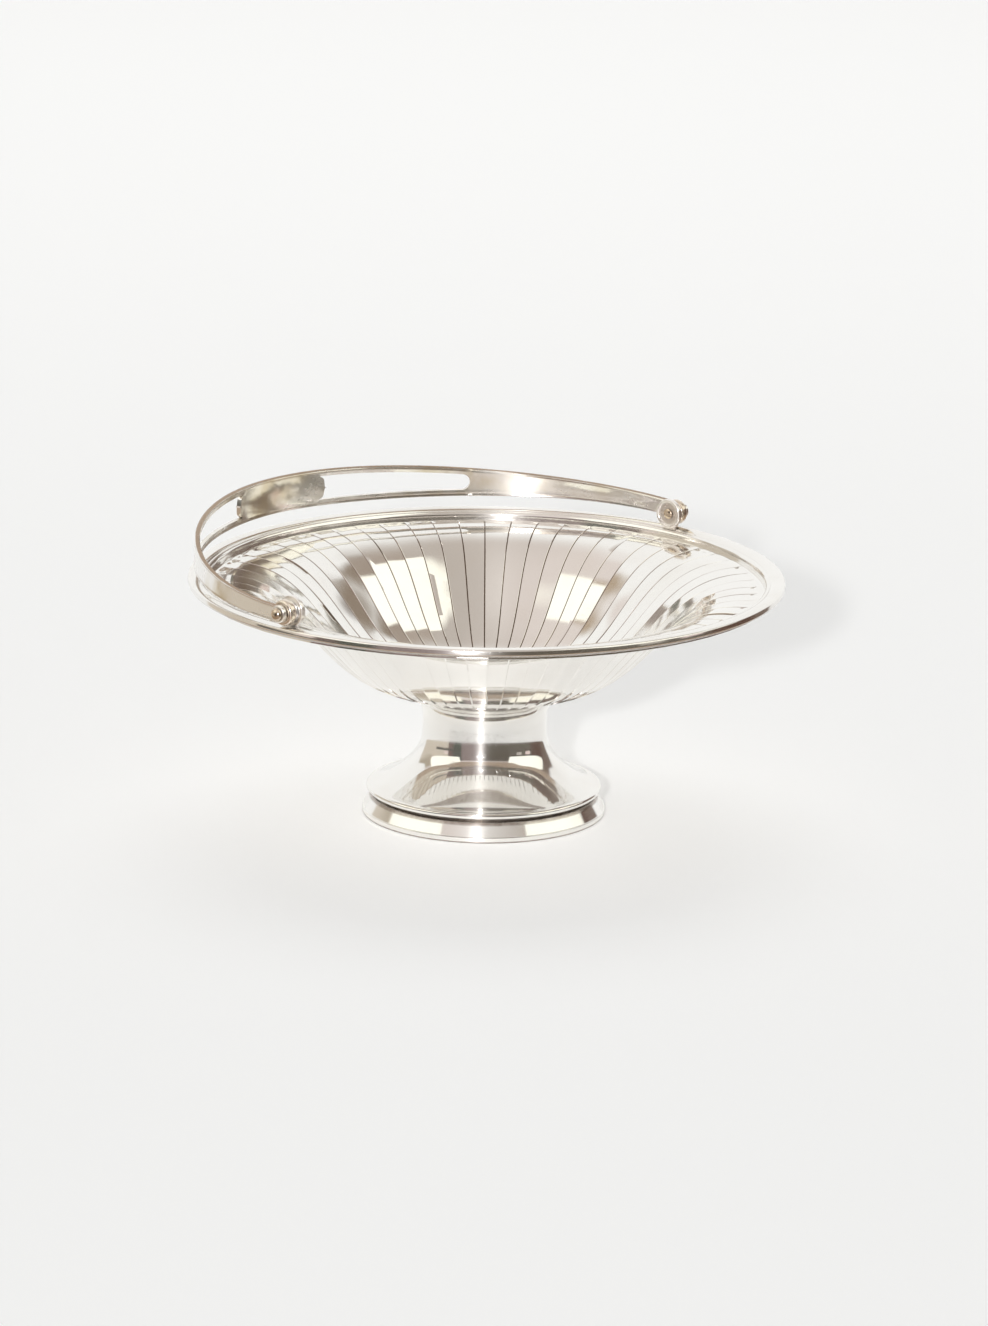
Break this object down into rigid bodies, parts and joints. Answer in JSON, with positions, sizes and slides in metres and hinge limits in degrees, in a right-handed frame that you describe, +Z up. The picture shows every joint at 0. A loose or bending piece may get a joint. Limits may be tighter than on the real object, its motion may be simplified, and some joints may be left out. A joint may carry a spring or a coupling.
{
  "type": "fruit bowl",
  "caption": "Round pedestal fruit bowl of silver-plated metal with radial panels, a moulded rim, a hollow spool foot and a pierced strap handle that swings over the bowl.",
  "frame": {"origin": "centre of the foot's resting edge, on the floor under the middle of the bowl", "axes": "+Z up through the pedestal, X along the handle's hinge line, and the handle lies folded back towards +Y"},
  "size_m": [0.2592, 0.25, 0.1239],
  "materials": {
    "silver_plate": "polished silver plate, warm with light tarnish",
    "worn_plate": "silver plate rubbed through to the brass",
    "brass": "tarnished brass"
  },
  "bodies": {
    "bowl": {"bowl_shell": "silver_plate", "rim_border": "silver_plate", "pedestal_stem": "silver_plate", "foot_flange": "silver_plate", "hinge_ear_left": "worn_plate", "hinge_ear_right": "worn_plate", "hinge_washer_left": "silver_plate", "hinge_washer_right": "silver_plate", "hinge_pin_left": "brass", "hinge_pin_right": "brass"},
    "handle": {"bail_handle": "silver_plate", "hinge_boss_left": "worn_plate", "hinge_boss_right": "worn_plate"}
  },
  "joints": [
    {"name": "handle_swing", "type": "hinge", "parent": "bowl", "child": "handle", "pos_m": [0, 0, 0.1082], "axis": [1, 0, 0], "range_deg": [0, 172.8]}
  ]
}
